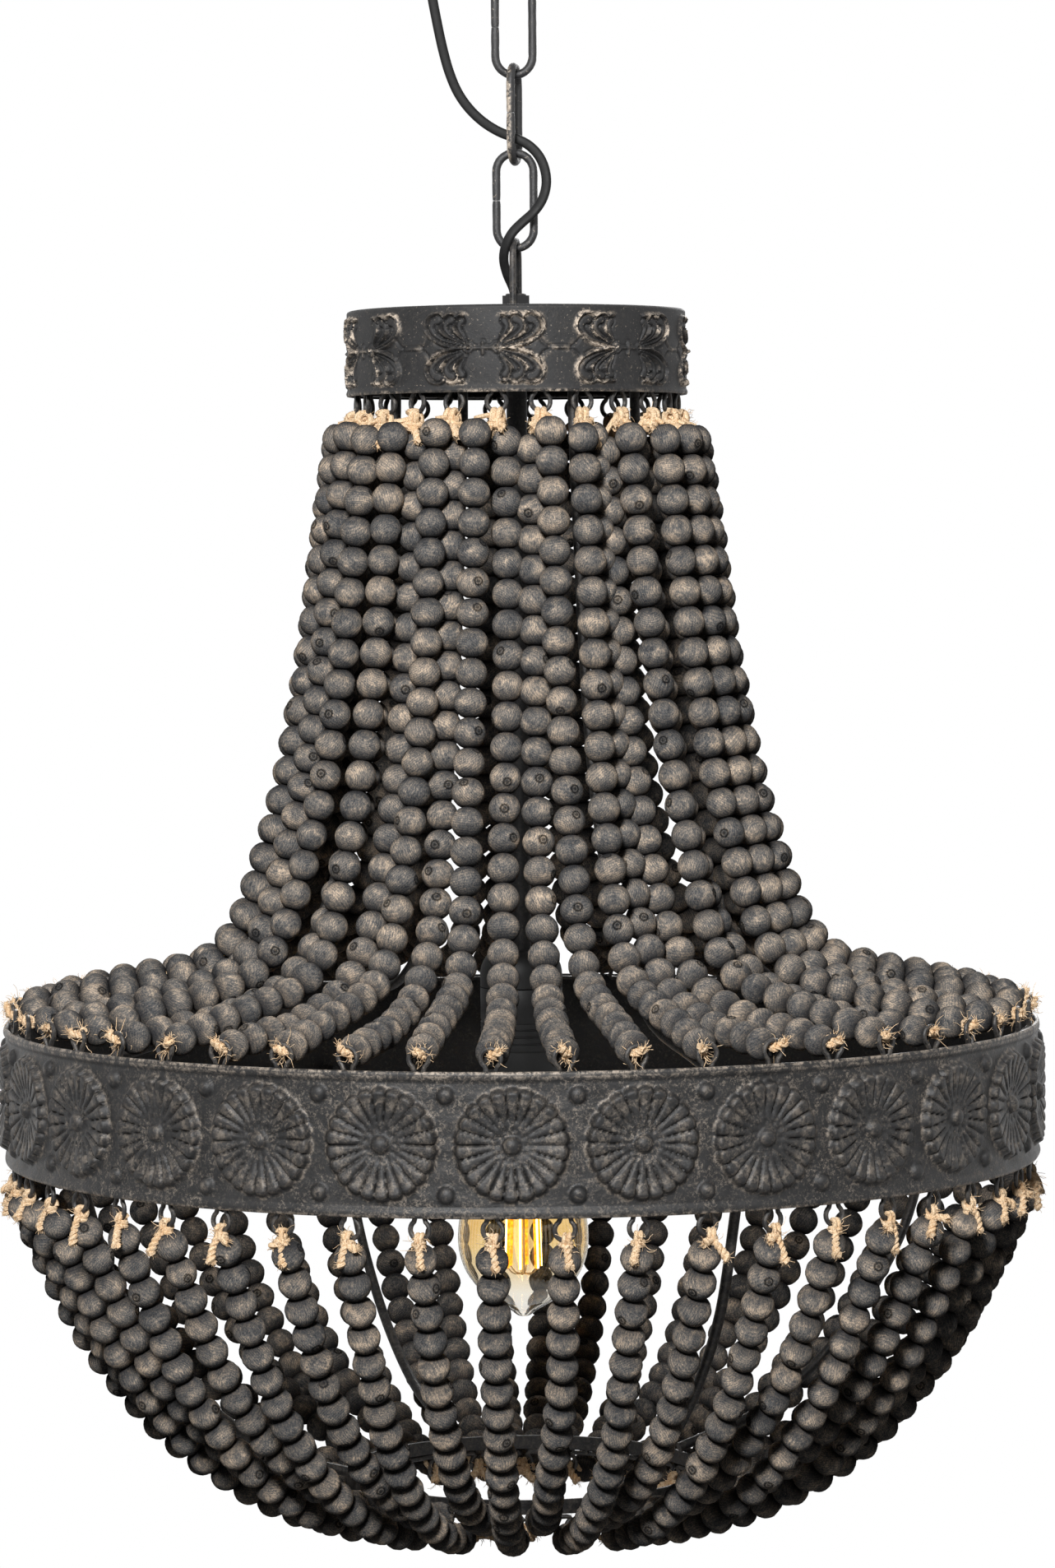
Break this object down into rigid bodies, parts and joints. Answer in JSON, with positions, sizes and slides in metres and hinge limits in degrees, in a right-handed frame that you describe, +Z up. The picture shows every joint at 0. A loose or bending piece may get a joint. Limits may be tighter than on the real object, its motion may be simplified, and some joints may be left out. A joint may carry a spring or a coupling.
{
  "type": "beaded chandelier",
  "caption": "Chain-hung chandelier with a drum, a flared curtain of bead strands, an embossed band and a bowl of strands round a filament bulb.",
  "frame": {"origin": "centre of the ceiling bracket's top face, on the ceiling", "axes": "+Z up into the ceiling, -Y towards the front as pictured, +X to the viewer's right"},
  "size_m": [0.509, 0.5081, 0.8359],
  "materials": {
    "blackened_steel": "matte, worn",
    "stained_wood": "matte stain",
    "black_plastic": "satin",
    "black_cord": "semi-gloss",
    "nickel_cap": "satin",
    "amber_glass": "clear, tinted",
    "glowing_filament": "glowing"
  },
  "bodies": {
    "ceiling": {"ceiling_bracket": "blackened_steel", "canopy": "blackened_steel", "canopy_loop": "blackened_steel", "canopy_nut": "blackened_steel", "cord_grip": "black_plastic"},
    "top_link": {"chain_link_0": "blackened_steel"},
    "lamp": {"chain_link_1": "blackened_steel", "chain_link_2": "blackened_steel", "chain_link_3": "blackened_steel", "supply_cord": "black_cord", "lifting_eye": "blackened_steel", "stem_nut": "blackened_steel", "stem_lock_nut": "blackened_steel", "drum": "blackened_steel", "drum_top_plate": "blackened_steel", "stem": "blackened_steel", "band": "blackened_steel", "bottom_ring": "blackened_steel", "band_top_eyelets": "blackened_steel", "ring_eyelets": "blackened_steel", "upper_rod_01": "blackened_steel", "lower_rod_01": "blackened_steel", "upper_rod_02": "blackened_steel", "lower_rod_02": "blackened_steel", "upper_rod_03": "blackened_steel", "lower_rod_03": "blackened_steel", "upper_rod_04": "blackened_steel", "lower_rod_04": "blackened_steel", "upper_strands_01": "stained_wood", "lower_strands_01": "stained_wood", "upper_strands_02": "stained_wood", "lower_strands_02": "stained_wood", "upper_strands_03": "stained_wood", "lower_strands_03": "stained_wood", "upper_strands_04": "stained_wood", "lower_strands_04": "stained_wood", "upper_strands_05": "stained_wood", "lower_strands_05": "stained_wood", "upper_strands_06": "stained_wood", "lower_strands_06": "stained_wood", "upper_strands_07": "stained_wood", "lower_strands_07": "stained_wood", "upper_strands_08": "stained_wood", "lower_strands_08": "stained_wood", "upper_strands_09": "stained_wood", "lower_strands_09": "stained_wood", "upper_strands_10": "stained_wood", "lower_strands_10": "stained_wood", "upper_strands_11": "stained_wood", "lower_strands_11": "stained_wood", "upper_strands_12": "stained_wood", "lower_strands_12": "stained_wood", "lampholder_cap": "black_plastic", "lampholder": "black_plastic"},
    "bulb": {"bulb_cap": "nickel_cap", "bulb_glass": "amber_glass", "bulb_filament": "glowing_filament"}
  },
  "joints": [
    {"name": "swing_front_back", "type": "hinge", "parent": "ceiling", "child": "top_link", "pos_m": [0, 0, -0.05], "axis": [1, 0, 0], "range_deg": [-15, 15], "deforming": ["supply_cord"]},
    {"name": "swing_sideways", "type": "hinge", "parent": "top_link", "child": "lamp", "pos_m": [0, 0, -0.0917], "axis": [0, 1, 0], "range_deg": [-15, 15], "deforming": ["supply_cord"]},
    {"name": "bulb_out", "type": "slide", "parent": "lamp", "child": "bulb", "axis": [0, 0, -1], "range_m": [0, 0.03]}
  ]
}
